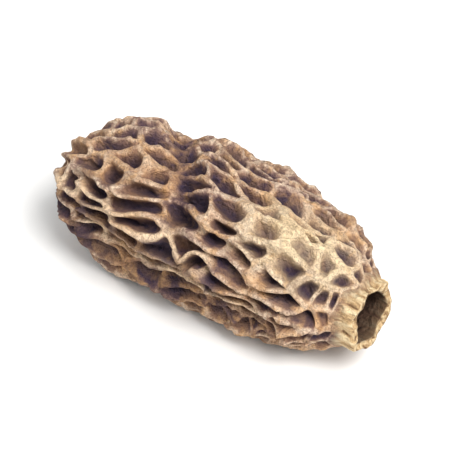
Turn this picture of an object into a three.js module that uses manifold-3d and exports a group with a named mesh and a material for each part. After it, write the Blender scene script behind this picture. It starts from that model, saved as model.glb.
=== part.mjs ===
// A dried black morel with its foot cut short, lying on its side. Millimetres, +Z up.
// X runs along the mushroom: the tip is at -X and the cut foot at +X. The origin is under the middle of its
// box, on the surface that it lies on. The mushroom grew as one hollow piece, so it is one closed solid:
// a body of pit floors, the net of ridges raised on it, the short foot, and the hollow inside.
import * as THREE from "three";
import Module from "manifold-3d";

// Driving dimensions. "Along" is the distance from the cut foot towards the tip.
const LENGTH = 59;
const RIDGE_HEIGHT = 2.7;
const BODY_RADIUS = 10.9;
const WIDEST_AT = 32;
const TIP_BLUNTNESS = 2.7;
const CAP_EDGE_AT = 3.3;
const CAP_EDGE_RADIUS = 5.4;
const CAP_EDGE_FULLNESS = 2.3;
const WIDTH_SHARE = 1.03;
const HEIGHT_SHARE = 0.9;
const BEND = 1.6;

// Where the middle of the box lies from the cut foot and from the straight line between the ends.
const MIDDLE_ALONG = 28.715;
const MIDDLE_ACROSS = 1.977;

// The side that it lies on is flattened, and the lowest ridges are worn flat where they touch. At the resting
// spot the ridges have folded over and fill their pits, which gives one whole flat spot.
const AXIS_HEIGHT = 9.9;
const FLATTENED_BELOW = -8.6;
const FLATTENING = 0.5;
const REST_ALONG = 30;
const REST_PHI = 1.5 * Math.PI;
const REST_FULL_WITHIN = 2.6;
const REST_GONE_BEYOND = 5;

// Waves over the skin: size, how many go round, turn in radians for each millimetre along, and start.
const LOBE_WAVES = [[0.035, 2, 0.06, 1.57], [0.04, 3, -0.05, 2.37], [0.022, 5, 0.11, 3.57]];
const WANDER_ROUND = [[0.055, 2, 0.23, 0], [0.03, 5, -0.41, 1.1]];
const WANDER_ALONG = [[0.5, 3, 0.3, 0], [0.32, 8, 0.6, 2.2]];
const CREST_WAVES = [[0.14, 3, 0.5, 0], [0.12, 7, -0.33, 0.7]];
const CROSS_SAG_WAVES = [[0.25, 9, 0.9, 0]];
const CAP_EDGE_WAVES = [[0.56, 2, 0, 1], [0.24, 5, 0, 2.2]];
const NECK_WAVES = [[0.3, 3, 0, 0]];
const FOOT_WAVES = [[0.05, 4, 0, -0.83], [0.03, 3, 0, 0.4], [0.03, 7, 0, 1.7]];
const CUT_WAVES = [[0.2, 5, 0, 0.8]];
const MOUTH_WAVES = [[0.05, 5, 0, 2]];

// The wander fades out where the body is narrow. The cap's edge is drawn towards the tip by its own waves, and
// what lies within a short reach of it goes along.
const STEADY_RADIUS = 5.45;
const CAP_EDGE_DRAWN = 0.8;
const CAP_EDGE_REACH = 4;

// Crests are low at the cap's edge and at the tip, and full this far along from the edge or at this radius.
const EDGE_CREST_SHARE = 0.3;
const EDGE_CREST_FULL_AFTER = 6;
const TIP_CREST_SHARE = 0.35;
const TIP_CREST_FULL_RADIUS = 7;

// The net of ridges: long ridges run from foot to tip, and lower cross ridges part the pits between them. On
// the furrowed side the cross ridges are lowest. Pits are short where the body is narrow.
const NET_SEED = 123;
const COLUMNS = 28;
const PIT_LENGTH = 6.4;
const SHORT_PIT_LENGTH = 2.5;
const SHORT_PIT_RADIUS = 5;
const FULL_PIT_RADIUS = 10;
const PIT_LEAST_SHARE = 0.5;
const FIRST_PIT_LEAST_SHARE = 0.2;
const SWAY = 0.3;
const SWAY_TURN = 0.13;
const SWAY_COLUMN_TURN = 2.1;
const NET_STRETCH = 2.1;
const COLUMN_LEAST_RADIUS = [2.4, 4.6, 7.6];
const POLAR_PIT_RADIUS = 1.9;
const POLAR_FLOOR_RISE = 0.35;
const SHORTEST_RIDGE = 0.55;
const RIDGE_STEP = 2.1;
const PIT_FLOOR_SHARE = 0.3;
const PIT_BOWL = 0.5;
const LONG_RIDGE_SAG = 0.1;
const CROSS_RIDGE_SAG = 0.42;
const GREATEST_SAG = 0.9;
const FURROW_PHI = 3.2;
const FURROW_HALF_WIDTH = 0.5;
const FURROW_SAG = 0.45;

// The cut foot and the hollow. The mouth and the throat are oval: narrower across than their radius.
const FOOT_RADIUS = 5.35;
const NECK_RADIUS = 5.25;
const NECK_AT = 2.1;
const CUT_SLANT = 0.13;
const CUT_TURN = 1.1;
const MOUTH_RADIUS = 4.05;
const MOUTH_NARROWING = 0.82;
const MOUTH_TURN = 0.6;
const THROAT_RADIUS = 4.2;
const THROAT_NARROWING = 0.9;
const THROAT_AT = 5.0;
const WALL = 2.3;
const HOLLOW_END_AT = 50;
const HOLLOW_RINGS = 8;
const HOLLOW_RING_POWER = 1.2;

const SKIN_COLOUR = 0x6b5238;
const TURN = 2 * Math.PI;

function clamp(value, low, high) {
  return Math.min(high, Math.max(low, value));
}

// The sum of a list of waves at an angle round the body and a distance along it.
function waves(list, phi, along) {
  return list.reduce((sum, [size, round, turn, start]) => {
    return sum + size * Math.sin(round * phi + turn * along + start);
  }, 0);
}

// The least turn from one angle to another, between half a turn back and half a turn on.
function turnFrom(base, phi) {
  return Math.atan2(Math.sin(phi - base), Math.cos(phi - base));
}

// Seeded draws between 0 and 1, so that every build draws the same net. Each state is what is left of the last
// one times a factor, after division by a prime.
const RANDOM_FACTOR = 16807;
const RANDOM_PRIME = 2147483647;
function makeRandom(seed) {
  let state = seed;
  return () => {
    state = (state * RANDOM_FACTOR) % RANDOM_PRIME;
    return state / RANDOM_PRIME;
  };
}

// Radius of the pit floors at a distance along: full and blunt to the tip, a long taper to the foot.
function bodyRadius(along) {
  const tip = LENGTH - RIDGE_HEIGHT;
  if (along >= WIDEST_AT) {
    const share = clamp((along - WIDEST_AT) / (tip - WIDEST_AT), 0, 1);
    return BODY_RADIUS * Math.sqrt(1 - share ** TIP_BLUNTNESS);
  }
  const share = clamp((along - CAP_EDGE_AT) / (WIDEST_AT - CAP_EDGE_AT), 0, 1);
  return CAP_EDGE_RADIUS + (BODY_RADIUS - CAP_EDGE_RADIUS) * (1 - (1 - share) ** CAP_EDGE_FULLNESS);
}

// The body's outline from cap edge to tip, as a table: distance along, radius, arc length, and the net's own
// height, which grows by arc length over radius so that the net keeps its proportions where the body narrows.
const OUTLINE_STEPS = 600;
const outline = (() => {
  const tip = LENGTH - RIDGE_HEIGHT;
  const first = Math.asin(CAP_EDGE_AT / tip);
  const table = { along: [], radius: [], arc: [0], rise: [0] };
  for (let i = 0; i <= OUTLINE_STEPS; i += 1) {
    const angle = first + ((Math.PI / 2 - first) * i) / OUTLINE_STEPS;
    table.along.push(tip * Math.sin(angle));
    table.radius.push(bodyRadius(table.along[i]));
  }
  for (let i = 1; i <= OUTLINE_STEPS; i += 1) {
    const step = Math.hypot(table.along[i] - table.along[i - 1], table.radius[i] - table.radius[i - 1]);
    const middle = (table.radius[i] + table.radius[i - 1]) / 2;
    table.arc.push(table.arc[i - 1] + step);
    table.rise.push(table.rise[i - 1] + step / middle);
  }
  return table;
})();

// Linear interpolation of one column of the outline table by another.
function lookUp(from, to, value) {
  let low = 0;
  let high = from.length - 1;
  while (high - low > 1) {
    const middle = (low + high) >> 1;
    if (from[middle] <= value) low = middle;
    else high = middle;
  }
  const share = clamp((value - from[low]) / (from[high] - from[low]), 0, 1);
  return to[low] + (to[high] - to[low]) * share;
}

// A dent along a straight line on the unrolled skin, deepest on the line and gone a few widths from it.
function dent(along, phi, line) {
  const alongStep = line.alongEnd - line.alongStart;
  const phiStep = (line.phiEnd - line.phiStart) * BODY_RADIUS;
  const off = turnFrom(line.phiStart, phi) * BODY_RADIUS;
  const share = ((along - line.alongStart) * alongStep + off * phiStep) / (alongStep ** 2 + phiStep ** 2);
  const held = clamp(share, 0, 1);
  const away = Math.hypot(along - line.alongStart - held * alongStep, off - held * phiStep);
  return line.depth * Math.exp(-((away / line.width) ** 2));
}

const DENTS = [
  { alongStart: 43, phiStart: 0.75, alongEnd: 31, phiEnd: 2.35, width: 2.6, depth: 0.17 },
  { alongStart: 14, phiStart: 3.35, alongEnd: 48, phiEnd: 3.05, width: 3.0, depth: 0.13 },
  { alongStart: 10, phiStart: 1.15, alongEnd: 27, phiEnd: 1.55, width: 2.8, depth: 0.1 },
  { alongStart: 22, phiStart: 5.6, alongEnd: 47, phiEnd: 6.1, width: 3.4, depth: 0.14 },
];

// How far the shrunken body departs from round: broad lobes, and folds where the skin has sunk in.
function lobes(along, phi) {
  return DENTS.reduce((sum, line) => sum - dent(along, phi, line), 1 + waves(LOBE_WAVES, phi, along));
}

// A point of the body: a distance along its bent axis, an angle round it and a radius, in the part's frame.
function bodyPoint(along, phi, radius) {
  const bend = BEND * Math.sin((Math.PI * along) / LENGTH);
  const reach = radius * lobes(along, phi);
  const y = WIDTH_SHARE * reach * Math.cos(phi) + bend;
  const up = HEIGHT_SHARE * reach * Math.sin(phi);
  const low = Math.min(0, up - FLATTENED_BELOW);
  return [MIDDLE_ALONG - along, y - MIDDLE_ACROSS, AXIS_HEIGHT + up - low * (1 - FLATTENING)];
}

// A point of the skin: an angle and a rise on the net, both moved by the net's wander, so that no ridge is
// straight, and a height over the pit floors along the normal.
const NORMAL_STEP = 0.2;
function skinPoint(phi, rise, height) {
  const at = lookUp(outline.rise, outline.along, rise);
  const fade = Math.min(1, bodyRadius(at) / STEADY_RADIUS);
  const nearEdge = Math.exp((CAP_EDGE_AT - at) / CAP_EDGE_REACH);
  const drawn = (CAP_EDGE_DRAWN + waves(CAP_EDGE_WAVES, phi, at)) * nearEdge;
  const along = clamp(at + waves(WANDER_ALONG, phi, at) * fade + drawn, CAP_EDGE_AT, LENGTH - RIDGE_HEIGHT);
  const turned = phi + waves(WANDER_ROUND, phi, at) * fade;
  const arc = lookUp(outline.along, outline.arc, along);
  const before = lookUp(outline.arc, outline.along, arc - NORMAL_STEP);
  const after = lookUp(outline.arc, outline.along, arc + NORMAL_STEP);
  const slopeAlong = after - before;
  const slopeRadius = bodyRadius(after) - bodyRadius(before);
  const size = Math.hypot(slopeAlong, slopeRadius);
  const radius = bodyRadius(along) + (height * slopeAlong) / size;
  return bodyPoint(along - (height * slopeRadius) / size, turned, Math.max(0, radius));
}

// Crest height over the pit floors: it rises and falls, and is lower by the cap edge and at the tip.
function crestHeight(phi, rise) {
  const along = lookUp(outline.rise, outline.along, rise);
  const fromEdge = Math.min(1, (along - CAP_EDGE_AT) / EDGE_CREST_FULL_AFTER);
  const fromTip = Math.min(1, bodyRadius(along) / TIP_CREST_FULL_RADIUS);
  const atEdge = EDGE_CREST_SHARE + (1 - EDGE_CREST_SHARE) * fromEdge;
  const atTip = TIP_CREST_SHARE + (1 - TIP_CREST_SHARE) * fromTip;
  return RIDGE_HEIGHT * (1 + waves(CREST_WAVES, phi, along)) * atEdge * atTip;
}

// Height of the pit floors: none, but at the resting spot they rise to the crests.
function floorHeight(phi, rise) {
  const along = lookUp(outline.rise, outline.along, rise);
  const away = Math.hypot(along - REST_ALONG, turnFrom(REST_PHI, phi) * BODY_RADIUS);
  const share = (REST_GONE_BEYOND - away) / (REST_GONE_BEYOND - REST_FULL_WITHIN);
  return crestHeight(phi, rise) * clamp(share, 0, 1);
}

// How far a ridge hangs at its middle, as a share of its height. Lean is 0 for a ridge along the body and 1 for
// one across it.
function ridgeSag(phi, rise, lean) {
  const along = lookUp(outline.rise, outline.along, rise);
  const furrow = FURROW_SAG * Math.exp(-((turnFrom(FURROW_PHI, phi) / FURROW_HALF_WIDTH) ** 2));
  const cross = Math.min(GREATEST_SAG, CROSS_RIDGE_SAG + waves(CROSS_SAG_WAVES, phi, along) + furrow);
  return LONG_RIDGE_SAG + (cross - LONG_RIDGE_SAG) * lean ** 2;
}

// One site for each pit, in columns from foot to tip. A column is left out where the body is too narrow.
function placeSites(random) {
  const sites = [];
  const wholeArc = outline.arc[OUTLINE_STEPS];
  for (let column = 0; column < COLUMNS; column += 1) {
    const rank = column % 2 ? 2 : column % 4 ? 1 : 0;
    let arc = SHORT_PIT_LENGTH * (FIRST_PIT_LEAST_SHARE + (1 - FIRST_PIT_LEAST_SHARE) * random());
    while (arc < wholeArc) {
      const along = lookUp(outline.arc, outline.along, arc);
      const radius = bodyRadius(along);
      const sway = SWAY * (Math.sin(SWAY_TURN * arc + SWAY_COLUMN_TURN * column) + random() - 0.5);
      if (radius >= COLUMN_LEAST_RADIUS[rank]) {
        const phi = (TURN * (column + 0.5 + sway)) / COLUMNS;
        sites.push({ x: phi, y: lookUp(outline.arc, outline.rise, arc) / NET_STRETCH });
      }
      const full = clamp((radius - SHORT_PIT_RADIUS) / (FULL_PIT_RADIUS - SHORT_PIT_RADIUS), 0, 1);
      const length = SHORT_PIT_LENGTH + (PIT_LENGTH - SHORT_PIT_LENGTH) * full;
      arc += length * (PIT_LEAST_SHARE + 2 * (1 - PIT_LEAST_SHARE) * random());
    }
  }
  return sites;
}

// The part of a convex polygon that lies nearer to site a than to site b.
function nearerPart(polygon, a, b) {
  const side = (p) => (p.x - b.x) ** 2 + (p.y - b.y) ** 2 - (p.x - a.x) ** 2 - (p.y - a.y) ** 2;
  const kept = [];
  polygon.forEach((p, i) => {
    const q = polygon[(i + 1) % polygon.length];
    const sp = side(p);
    const sq = side(q);
    if (sp >= 0) kept.push(p);
    if (sp >= 0 !== sq >= 0) {
      const t = sp / (sp - sq);
      kept.push({ x: p.x + t * (q.x - p.x), y: p.y + t * (q.y - p.y) });
    }
  });
  return kept;
}

// The net on the unrolled skin: each site's pit is what lies nearest to it. Corners closer together than the
// shortest ridge become one, and each pit is a list of corner numbers.
function drawNet(sites, top) {
  const corners = [];
  const corner = (p) => {
    const x = ((p.x % TURN) + TURN) % TURN;
    const radius = bodyRadius(lookUp(outline.rise, outline.along, p.y * NET_STRETCH)) + RIDGE_HEIGHT / 2;
    const found = corners.findIndex((c) => {
      const dx = Math.abs(c.x - x);
      return radius * Math.hypot(Math.min(dx, TURN - dx), (c.y - p.y) * NET_STRETCH) < SHORTEST_RIDGE;
    });
    return found >= 0 ? found : corners.push({ x, y: p.y }) - 1;
  };
  const pits = sites.map((site) => {
    let polygon = [
      { x: site.x - Math.PI, y: 0 },
      { x: site.x + Math.PI, y: 0 },
      { x: site.x + Math.PI, y: top },
      { x: site.x - Math.PI, y: top },
    ];
    for (const other of sites)
      for (const shift of [-TURN, 0, TURN])
        if (other !== site || shift) polygon = nearerPart(polygon, site, { x: other.x + shift, y: other.y });
    const numbers = polygon.map(corner);
    return numbers.filter((n, i) => n !== numbers[(i + 1) % numbers.length]);
  });
  return { corners, pits: pits.filter((pit) => pit.length > 2) };
}

// Builds the closed surface as vertices and triangles.
function buildSurface() {
  const positions = [];
  const triangles = [];
  const addPoint = (p) => positions.push(p) - 1;
  const top = lookUp(outline.radius.slice().reverse(), outline.rise.slice().reverse(), POLAR_PIT_RADIUS);
  const net = drawNet(placeSites(makeRandom(NET_SEED)), top / NET_STRETCH);

  const unrolled = net.corners.map((c) => ({ phi: c.x, rise: c.y * NET_STRETCH }));
  const crest = unrolled.map((c) => addPoint(skinPoint(c.phi, c.rise, crestHeight(c.phi, c.rise))));
  const nearTo = (phi, base) => phi + TURN * Math.round((base - phi) / TURN);

  // The points of the ridge from corner a to corner b, without b. Both pits beside it get the same points.
  const ridges = new Map();
  function ridge(a, b) {
    const [from, to] = a < b ? [a, b] : [b, a];
    const key = `${from},${to}`;
    if (!ridges.has(key)) {
      const start = unrolled[from];
      const end = { phi: nearTo(unrolled[to].phi, start.phi), rise: unrolled[to].rise };
      const radius = bodyRadius(lookUp(outline.rise, outline.along, (start.rise + end.rise) / 2));
      const across = (radius + RIDGE_HEIGHT) * (end.phi - start.phi);
      const upward = (radius + RIDGE_HEIGHT) * (end.rise - start.rise);
      const size = Math.hypot(across, upward);
      const sag = ridgeSag((start.phi + end.phi) / 2, (start.rise + end.rise) / 2, across / size);
      const steps = Math.max(1, Math.round(size / RIDGE_STEP));
      const points = [];
      for (let i = 1; i < steps; i += 1) {
        const t = i / steps;
        const phi = start.phi + t * (end.phi - start.phi);
        const rise = start.rise + t * (end.rise - start.rise);
        const height = crestHeight(phi, rise) * (1 - sag * 4 * t * (1 - t));
        points.push({ phi, rise, at: addPoint(skinPoint(phi, rise, height)) });
      }
      ridges.set(key, points);
    }
    const middle = ridges.get(key);
    return [{ ...unrolled[a], at: crest[a] }, ...(a < b ? middle : middle.slice().reverse())];
  }
  const rimOf = (loop) => loop.flatMap((a, i) => ridge(a, loop[(i + 1) % loop.length]));

  // A strip between two rings with the same number of points. Listed along rising angle, it faces outwards
  // where the second ring is nearer to the foot.
  function strip(upper, lower) {
    upper.forEach((a, i) => {
      const j = (i + 1) % upper.length;
      triangles.push([a, lower[i], upper[j]], [upper[j], lower[i], lower[j]]);
    });
  }
  function fan(ring, middle) {
    ring.forEach((a, i) => triangles.push([a, middle, ring[(i + 1) % ring.length]]));
  }

  // Each pit: its rim of ridges, walls down to a floor ring, and a floor sunk a little like a bowl.
  for (const pit of net.pits) {
    const rim = rimOf(pit);
    const base = rim[0].phi;
    const middle = { phi: 0, rise: 0 };
    for (const p of rim) {
      middle.phi += nearTo(p.phi, base) / rim.length;
      middle.rise += p.rise / rim.length;
    }
    const floor = rim.map((p) => {
      const phi = middle.phi + (1 - PIT_FLOOR_SHARE) * (nearTo(p.phi, base) - middle.phi);
      const rise = middle.rise + (1 - PIT_FLOOR_SHARE) * (p.rise - middle.rise);
      return addPoint(skinPoint(phi, rise, floorHeight(phi, rise)));
    });
    const pressed = floorHeight(middle.phi, middle.rise);
    strip(rim.map((p) => p.at), floor);
    fan(floor, addPoint(skinPoint(middle.phi, middle.rise, pressed || -PIT_BOWL)));
  }

  // The net's two open edges, found as the ridges that only one pit has: the cap's edge and the polar pit.
  const next = new Map();
  const used = new Set(net.pits.flatMap((pit) => pit.map((a, i) => `${a},${pit[(i + 1) % pit.length]}`)));
  for (const pit of net.pits)
    pit.forEach((a, i) => {
      const b = pit[(i + 1) % pit.length];
      if (!used.has(`${b},${a}`)) next.set(a, b);
    });
  function loopNear(rise) {
    const start = [...next.keys()].reduce((best, n) =>
      Math.abs(unrolled[n].rise - rise) < Math.abs(unrolled[best].rise - rise) ? n : best,
    );
    const loop = [start];
    for (let n = next.get(start); n !== start; n = next.get(n)) loop.push(n);
    return loop;
  }

  const polar = rimOf(loopNear(top).reverse());
  const tipRise = outline.rise[OUTLINE_STEPS];
  const polarFloor = polar.map((p) => addPoint(skinPoint(p.phi, p.rise + POLAR_FLOOR_RISE, 0)));
  strip(polar.map((p) => p.at), polarFloor);
  fan(polarFloor, addPoint(skinPoint(0, tipRise, 0)));

  // Below the cap's edge: the neck, the foot, its cut face, the throat and the hollow, on the same angles.
  const edge = rimOf(loopNear(0).reverse());
  const angles = edge.map((p) => p.phi);
  const ring = (along, radius, narrowing = 1) =>
    angles.map((phi) => {
      const oval = Math.hypot(Math.cos(phi - MOUTH_TURN), Math.sin(phi - MOUTH_TURN) * narrowing);
      return addPoint(bodyPoint(along(phi), phi, radius(phi) * oval));
    });
  const neck = (phi) => NECK_AT + waves(NECK_WAVES, phi, 0);
  const cut = (phi) => CUT_SLANT * FOOT_RADIUS * (1 + Math.cos(phi - CUT_TURN)) + waves(CUT_WAVES, phi, 0);
  const pleated = (phi) => 1 + waves(FOOT_WAVES, phi, 0);
  const rings = [
    edge.map((p) => p.at),
    ring(neck, (phi) => NECK_RADIUS * pleated(phi)),
    ring(cut, (phi) => FOOT_RADIUS * pleated(phi)),
    ring(cut, (phi) => MOUTH_RADIUS * (1 + waves(MOUTH_WAVES, phi, 0)), MOUTH_NARROWING),
    ring(() => THROAT_AT, () => THROAT_RADIUS, THROAT_NARROWING),
  ];
  for (let i = 1; i < HOLLOW_RINGS; i += 1) {
    const share = Math.sin((i * Math.PI) / (2 * HOLLOW_RINGS)) ** HOLLOW_RING_POWER;
    const along = THROAT_AT + (HOLLOW_END_AT - THROAT_AT) * share;
    rings.push(ring(() => along, () => bodyRadius(along) - WALL));
  }
  for (let i = 1; i < rings.length; i += 1) strip(rings[i - 1], rings[i]);
  fan(rings[rings.length - 1], addPoint(bodyPoint(HOLLOW_END_AT, 0, 0)));
  return { positions, triangles };
}

const wasm = await Module();
wasm.setup();

// A closed surface as a solid that can be cut.
function solidFrom(positions, triangles) {
  return new wasm.Manifold(
    new wasm.Mesh({
      numProp: 3,
      vertProperties: new Float32Array(positions.flat()),
      triVerts: new Uint32Array(triangles.flat()),
    }),
  );
}

// A box as a solid, from its lowest and highest corners.
function boxSolid(low, high) {
  const positions = [];
  for (let i = 0; i < 8; i += 1) positions.push([0, 1, 2].map((k) => (i & (1 << k) ? high[k] : low[k])));
  const faces = [
    [0, 2, 3, 1],
    [4, 5, 7, 6],
    [0, 1, 5, 4],
    [2, 6, 7, 3],
    [0, 4, 6, 2],
    [1, 3, 7, 5],
  ];
  return solidFrom(positions, faces.flatMap(([a, b, c, d]) => [[a, b, c], [a, c, d]]));
}

const surface = buildSurface();
const below = boxSolid([-LENGTH, -LENGTH, -LENGTH], [LENGTH, LENGTH, 0]);
const worn = solidFrom(surface.positions, surface.triangles).subtract(below);
const mesh = worn.getMesh();

const geometry = new THREE.BufferGeometry();
geometry.setAttribute("position", new THREE.BufferAttribute(new Float32Array(mesh.vertProperties), 3));
geometry.setIndex(new THREE.BufferAttribute(new Uint32Array(mesh.triVerts), 1));
geometry.computeVertexNormals();

const morel = new THREE.Mesh(
  geometry,
  new THREE.MeshStandardMaterial({ color: SKIN_COLOUR, roughness: 0.85, metalness: 0 }),
);
morel.name = "morel";

const group = new THREE.Group();
group.add(morel);

export default group;
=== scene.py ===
# A dried black morel with its foot cut short, lying on its side on a pale floor.
# Its skin is one fine mesh that keeps the CAD node's form. The body, the net of ridges, the foot and the
# hollow are worked out again from the same driving dimensions, with thick rounded ridges, veins on the pit
# floors, torn fibres on the foot and wrinkled flesh.
import math

import bpy
import numpy as np
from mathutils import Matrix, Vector


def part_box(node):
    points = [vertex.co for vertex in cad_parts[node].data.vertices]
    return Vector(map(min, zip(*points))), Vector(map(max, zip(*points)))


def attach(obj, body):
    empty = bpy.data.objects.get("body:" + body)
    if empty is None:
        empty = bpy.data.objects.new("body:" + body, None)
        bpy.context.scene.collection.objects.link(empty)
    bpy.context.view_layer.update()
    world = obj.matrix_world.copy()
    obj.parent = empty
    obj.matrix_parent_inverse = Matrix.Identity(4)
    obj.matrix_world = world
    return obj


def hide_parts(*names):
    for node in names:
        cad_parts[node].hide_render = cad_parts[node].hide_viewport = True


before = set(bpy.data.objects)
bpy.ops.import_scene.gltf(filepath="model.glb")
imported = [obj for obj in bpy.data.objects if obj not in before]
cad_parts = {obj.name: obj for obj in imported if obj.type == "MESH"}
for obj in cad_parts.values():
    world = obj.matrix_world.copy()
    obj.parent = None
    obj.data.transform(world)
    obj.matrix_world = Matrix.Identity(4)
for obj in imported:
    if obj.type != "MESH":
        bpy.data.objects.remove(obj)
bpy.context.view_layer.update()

MM = 0.001
TURN = 2 * math.pi
FLOOR_HALF_WIDTH = 3000 * MM

# Driving dimensions in millimetres. "Along" is the distance from the cut foot towards the tip.
LENGTH = 59
RIDGE_HEIGHT = 2.7
BODY_RADIUS = 10.9
WIDEST_AT = 32
TIP_BLUNTNESS = 2.7
CAP_EDGE_AT = 3.3
CAP_EDGE_RADIUS = 5.4
CAP_EDGE_FULLNESS = 2.3
WIDTH_SHARE = 1.03
HEIGHT_SHARE = 0.9
BEND = 1.6
MIDDLE_ALONG = 28.715
MIDDLE_ACROSS = 1.977

# The side that it lies on is flattened, and worn flat where it touches.
AXIS_HEIGHT = 9.9
FLATTENED_BELOW = -8.6
FLATTENING = 0.5
REST_ALONG = 30
REST_PHI = 1.5 * math.pi
REST_FULL_WITHIN = 2.6
REST_GONE_BEYOND = 5

# Waves over the skin: size, how many go round, turn in radians for each millimetre along, and start.
LOBE_WAVES = ((0.035, 2, 0.06, 1.57), (0.04, 3, -0.05, 2.37), (0.022, 5, 0.11, 3.57))
WANDER_ROUND = ((0.055, 2, 0.23, 0), (0.03, 5, -0.41, 1.1))
WANDER_ALONG = ((0.5, 3, 0.3, 0), (0.32, 8, 0.6, 2.2))
CREST_WAVES = ((0.14, 3, 0.5, 0), (0.12, 7, -0.33, 0.7))
CROSS_SAG_WAVES = ((0.25, 9, 0.9, 0),)
CAP_EDGE_WAVES = ((0.56, 2, 0, 1), (0.24, 5, 0, 2.2))
NECK_WAVES = ((0.3, 3, 0, 0),)
FOOT_WAVES = ((0.05, 4, 0, -0.83), (0.03, 3, 0, 0.4), (0.03, 7, 0, 1.7))
CUT_WAVES = ((0.2, 5, 0, 0.8),)
MOUTH_WAVES = ((0.05, 5, 0, 2),)

# Folds where the skin has sunk in: along and angle at each end, width, and depth as a share of the radius.
DENTS = (
    (43, 0.75, 31, 2.35, 2.6, 0.17),
    (14, 3.35, 48, 3.05, 3.0, 0.13),
    (10, 1.15, 27, 1.55, 2.8, 0.1),
    (22, 5.6, 47, 6.1, 3.4, 0.14),
)

# The wander fades out where the body is narrow. The cap's edge is drawn towards the tip by its own waves, and
# what lies within a short reach of it goes along.
STEADY_RADIUS = 5.45
CAP_EDGE_DRAWN = 0.8
CAP_EDGE_REACH = 4
NORMAL_STEP = 0.2

# Crests are low at the cap's edge and at the tip, and full this far along from the edge or at this radius.
EDGE_CREST_SHARE = 0.3
EDGE_CREST_FULL_AFTER = 6
TIP_CREST_SHARE = 0.35
TIP_CREST_FULL_RADIUS = 7

# The net of ridges: long ridges run from foot to tip, and lower cross ridges part the pits between them. On
# the furrowed side the cross ridges are lowest. Pits are short where the body is narrow.
NET_SEED = 123
COLUMNS = 28
PIT_LENGTH = 6.4
SHORT_PIT_LENGTH = 2.5
SHORT_PIT_RADIUS = 5
FULL_PIT_RADIUS = 10
PIT_LEAST_SHARE = 0.5
FIRST_PIT_LEAST_SHARE = 0.2
SWAY = 0.3
SWAY_TURN = 0.13
SWAY_COLUMN_TURN = 2.1
NET_STRETCH = 2.1
COLUMN_LEAST_RADIUS = (2.4, 4.6, 7.6)
POLAR_PIT_RADIUS = 1.9
SHORTEST_RIDGE = 0.55
PIT_BOWL = 0.5
LONG_RIDGE_SAG = 0.1
CROSS_RIDGE_SAG = 0.42
GREATEST_SAG = 0.9
FURROW_PHI = 3.2
FURROW_HALF_WIDTH = 0.5
FURROW_SAG = 0.45

# Seeded draws: each state is what is left of the last one times a factor, after division by a prime.
RANDOM_FACTOR = 16807
RANDOM_PRIME = 2147483647

# Noise draws its value at a corner of the lattice by mixing the corner's three numbers and the seed.
CORNER_FACTORS = (73856093, 19349663, 83492791)
SEED_FACTOR = 2654435761
MIXING_FACTOR = 1274126177
WORD_BITS = 0xFFFFFFFF
VALUE_BITS = 0xFFFF

# The cut foot and the hollow.
FOOT_RADIUS = 5.35
NECK_RADIUS = 5.25
NECK_AT = 2.1
CUT_SLANT = 0.13
CUT_TURN = 1.1
MOUTH_RADIUS = 4.05
MOUTH_NARROWING = 0.82
MOUTH_TURN = 0.6
THROAT_RADIUS = 4.2
THROAT_NARROWING = 0.9
THROAT_AT = 5.0
WALL = 2.3
HOLLOW_END_AT = 50

# The fine surface. A ridge's section goes from its crest down into the pit: how far in from the crest line, the
# share of the ridge's height there, the largest share of the way to the pit's middle that the inset may take,
# and how often the ring is rounded. Past the last of them the floor goes on to the middle of the pit.
FINE_STEP = 0.41
SECTION = (
    (0.15, 0.985, 0.16, 1),
    (0.25, 0.9, 0.25, 3),
    (0.32, 0.7, 0.32, 5),
    (0.41, 0.43, 0.41, 8),
    (0.55, 0.22, 0.53, 11),
    (0.8, 0.08, 0.67, 14),
    (1.15, 0.02, 0.83, 18),
)
LEAST_HALF_PIT = 0.3
HALF_PIT_ROUNDING = 3
POLAR_INSET_SHARE = 0.8
LONG_RIDGE_BREADTH = 2.8
CROSS_RIDGE_BREADTH = 1.6
CORNER_BREADTH = (LONG_RIDGE_BREADTH + CROSS_RIDGE_BREADTH) / 2
LUMPS_ON_CREST = 0.03
LUMPS_MORE_ON_FLOOR = 0.09

# Some floors are warmer in tone than others, by a draw for each pit. What is no floor has an even tone.
TONE_SEED = 7
EVEN_TONE = 0.5

# Noise over the skin in layers, each with its amount, its size in millimetres and its seed.
RAGGED_CREST = ((0.16, 1.9, 21), (0.13, 0.8, 22))
UNEVEN_BREADTH = ((0.55, 2.6, 31), (0.2, 0.9, 32))
LUMPS = ((1, 0.9, 41),)
WINDING_ROUND = ((0.28, 1.9, 11), (0.18, 0.9, 12))
WINDING_ALONG = ((0.28, 1.9, 13), (0.18, 0.9, 14))
CREST_LEAN = 0.9
LEAN_ROUND = ((1, 3.6, 15),)
LEAN_ALONG = ((1, 3.6, 16),)
STRAIGHT_WITHIN_RADIUS = 2.5

# Low winding veins on the floors.
VEIN_LINES = ((1, 2.2, 42),)
VEIN_WIDTH = 0.2
VEIN_HEIGHT = 0.5
VEIN_SHARE = 0.55
VEIN_CHANGE = ((0.8, 4.5, 43),)

# The pale thick flesh on the upper side towards the foot: its middle and reach in X and Y, the height where
# it starts, over which height it comes in, and its outer edge as a share of the reach. Its pits are
# shallow.
PALE_MIDDLE = (16, -3)
PALE_REACH = (8.5, 6)
PALE_ABOVE = 12
PALE_COMES_IN_OVER = 5
PALE_EDGE = 1.5
PALE_PATCHES = ((0.45, 3.2, 71),)
SHALLOW = 0.45

# Streaks of painted light over the skin: along and angle at each end, width, and strength.
# Painted highlight along two long ridges.
RIDGE_HIGHLIGHT_STREAKS = ((53, 2.54, 24, 2.66, 1.5, 1.0), (46, 3.05, 15, 3.13, 1.5, 1.0))
# Painted shade along two furrows and along the first dent.
FURROW_SHADE_STREAKS = ((49, 2.81, 20, 2.91, 1.3, 0.9), (54, 3.4, 12, 3.45, 1.9, 0.9), (43, 0.75, 31, 2.35, 1.5, 0.7))
STREAK_WINDING = ((0.05, 5.0, 72),)
STREAK_PATCHES = ((0.3, 3.0, 73),)

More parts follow.
